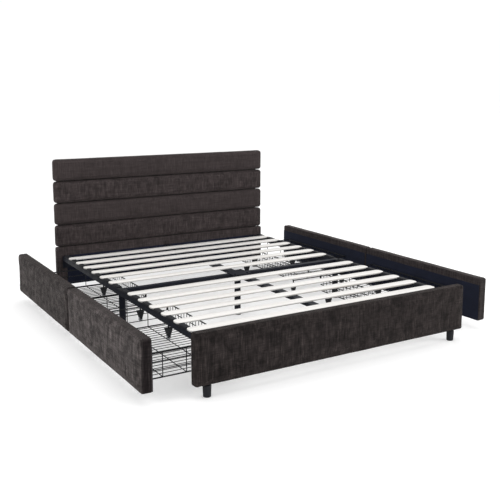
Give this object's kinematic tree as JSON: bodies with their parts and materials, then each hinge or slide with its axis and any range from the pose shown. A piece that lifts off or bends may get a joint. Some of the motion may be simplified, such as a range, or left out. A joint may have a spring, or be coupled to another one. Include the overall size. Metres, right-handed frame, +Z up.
{
  "type": "platform bed with storage drawers",
  "caption": "Upholstered platform bed with wooden slats on a steel frame and wire-basket storage drawers on casters that pull out from both sides.",
  "frame": {"origin": "on the floor under the centre of the bed's bounding box, drawers a quarter of a metre open", "axes": "+Z up, +Y from the foot to the headboard, +X to the right seen from the foot"},
  "size_m": [2.166, 2.156, 0.923],
  "materials": {
    "fabric": "dark brown-grey chenille weave",
    "lining": "navy non-woven lining",
    "steel": "satin black powder coat",
    "wire": "satin black coated wire",
    "wood": "pale birch, light lacquer",
    "plastic": "matt black moulded plastic"
  },
  "bodies": {
    "frame": {"headboard_channel_1": "fabric", "headboard_channel_2": "fabric", "headboard_channel_3": "fabric", "headboard_channel_4": "fabric", "headboard_back_board": "lining", "headboard_lower_panel": "fabric", "headboard_lower_lining": "lining", "headboard_leg_left": "plastic", "headboard_leg_right": "plastic", "footboard_pad": "fabric", "footboard_board": "lining", "footboard_leg_left": "plastic", "footboard_leg_right": "plastic", "side_rail_left": "steel", "side_rail_right": "steel", "middle_leg_left": "steel", "middle_leg_right": "steel", "middle_leg_centre": "steel", "corner_bracket_head_left": "steel", "corner_bracket_head_right": "steel", "corner_bracket_foot_left": "steel", "corner_bracket_foot_right": "steel", "slat_spacer_left": "plastic", "slat_spacer_right": "plastic", "cross_beam": "steel", "centre_beam_head": "steel", "centre_beam_foot": "steel", "junction_plate": "steel", "slat_01": "wood", "slat_02": "wood", "slat_03": "wood", "slat_04": "wood", "slat_05": "wood", "slat_06": "wood", "slat_07": "wood", "slat_08": "wood", "slat_09": "wood", "slat_10": "wood", "slat_11": "wood", "slat_12": "wood"},
    "drawer_foot_left": {"drawer_pad_foot_left": "fabric", "drawer_board_foot_left": "lining", "drawer_basket_foot_left": "wire"},
    "wheels_outer_foot_left": {"drawer_wheels_outer_foot_left": "plastic"},
    "wheels_inner_foot_left": {"drawer_wheels_inner_foot_left": "plastic"},
    "drawer_head_left": {"drawer_pad_head_left": "fabric", "drawer_board_head_left": "lining", "drawer_basket_head_left": "wire"},
    "wheels_outer_head_left": {"drawer_wheels_outer_head_left": "plastic"},
    "wheels_inner_head_left": {"drawer_wheels_inner_head_left": "plastic"},
    "drawer_foot_right": {"drawer_pad_foot_right": "fabric", "drawer_board_foot_right": "lining", "drawer_basket_foot_right": "wire"},
    "wheels_outer_foot_right": {"drawer_wheels_outer_foot_right": "plastic"},
    "wheels_inner_foot_right": {"drawer_wheels_inner_foot_right": "plastic"},
    "drawer_head_right": {"drawer_pad_head_right": "fabric", "drawer_board_head_right": "lining", "drawer_basket_head_right": "wire"},
    "wheels_outer_head_right": {"drawer_wheels_outer_head_right": "plastic"},
    "wheels_inner_head_right": {"drawer_wheels_inner_head_right": "plastic"}
  },
  "joints": [
    {"name": "drawer_slide_foot_left", "type": "slide", "parent": "frame", "child": "drawer_foot_left", "axis": [-1, 0, 0], "range_m": [-0.24, 0.165]},
    {"name": "wheel_spin_outer_foot_left", "type": "hinge", "parent": "drawer_foot_left", "child": "wheels_outer_foot_left", "pos_m": [-0.996, -0.543, 0.013], "axis": [0, -1, 0], "range_deg": [-1070, 740]},
    {"name": "wheel_spin_inner_foot_left", "type": "hinge", "parent": "drawer_foot_left", "child": "wheels_inner_foot_left", "pos_m": [-0.578, -0.543, 0.013], "axis": [0, -1, 0], "range_deg": [-1070, 740]},
    {"name": "drawer_slide_head_left", "type": "slide", "parent": "frame", "child": "drawer_head_left", "axis": [-1, 0, 0], "range_m": [-0.24, 0.165]},
    {"name": "wheel_spin_outer_head_left", "type": "hinge", "parent": "drawer_head_left", "child": "wheels_outer_head_left", "pos_m": [-0.996, 0.479, 0.013], "axis": [0, -1, 0], "range_deg": [-1070, 740]},
    {"name": "wheel_spin_inner_head_left", "type": "hinge", "parent": "drawer_head_left", "child": "wheels_inner_head_left", "pos_m": [-0.578, 0.479, 0.013], "axis": [0, -1, 0], "range_deg": [-1070, 740]},
    {"name": "drawer_slide_foot_right", "type": "slide", "parent": "frame", "child": "drawer_foot_right", "axis": [1, 0, 0], "range_m": [-0.24, 0.165]},
    {"name": "wheel_spin_outer_foot_right", "type": "hinge", "parent": "drawer_foot_right", "child": "wheels_outer_foot_right", "pos_m": [0.996, -0.493, 0.013], "axis": [0, 1, 0], "range_deg": [-1070, 740]},
    {"name": "wheel_spin_inner_foot_right", "type": "hinge", "parent": "drawer_foot_right", "child": "wheels_inner_foot_right", "pos_m": [0.578, -0.493, 0.013], "axis": [0, 1, 0], "range_deg": [-1070, 740]},
    {"name": "drawer_slide_head_right", "type": "slide", "parent": "frame", "child": "drawer_head_right", "axis": [1, 0, 0], "range_m": [-0.24, 0.165]},
    {"name": "wheel_spin_outer_head_right", "type": "hinge", "parent": "drawer_head_right", "child": "wheels_outer_head_right", "pos_m": [0.996, 0.529, 0.013], "axis": [0, 1, 0], "range_deg": [-1070, 740]},
    {"name": "wheel_spin_inner_head_right", "type": "hinge", "parent": "drawer_head_right", "child": "wheels_inner_head_right", "pos_m": [0.578, 0.529, 0.013], "axis": [0, 1, 0], "range_deg": [-1070, 740]}
  ],
  "couplings": [
    {"joint": "wheel_spin_outer_foot_left", "follows": "drawer_slide_foot_left", "rad_per_m": 76.923},
    {"joint": "wheel_spin_inner_foot_left", "follows": "drawer_slide_foot_left", "rad_per_m": 76.923},
    {"joint": "wheel_spin_outer_head_left", "follows": "drawer_slide_head_left", "rad_per_m": 76.923},
    {"joint": "wheel_spin_inner_head_left", "follows": "drawer_slide_head_left", "rad_per_m": 76.923},
    {"joint": "wheel_spin_outer_foot_right", "follows": "drawer_slide_foot_right", "rad_per_m": 76.923},
    {"joint": "wheel_spin_inner_foot_right", "follows": "drawer_slide_foot_right", "rad_per_m": 76.923},
    {"joint": "wheel_spin_outer_head_right", "follows": "drawer_slide_head_right", "rad_per_m": 76.923},
    {"joint": "wheel_spin_inner_head_right", "follows": "drawer_slide_head_right", "rad_per_m": 76.923}
  ]
}
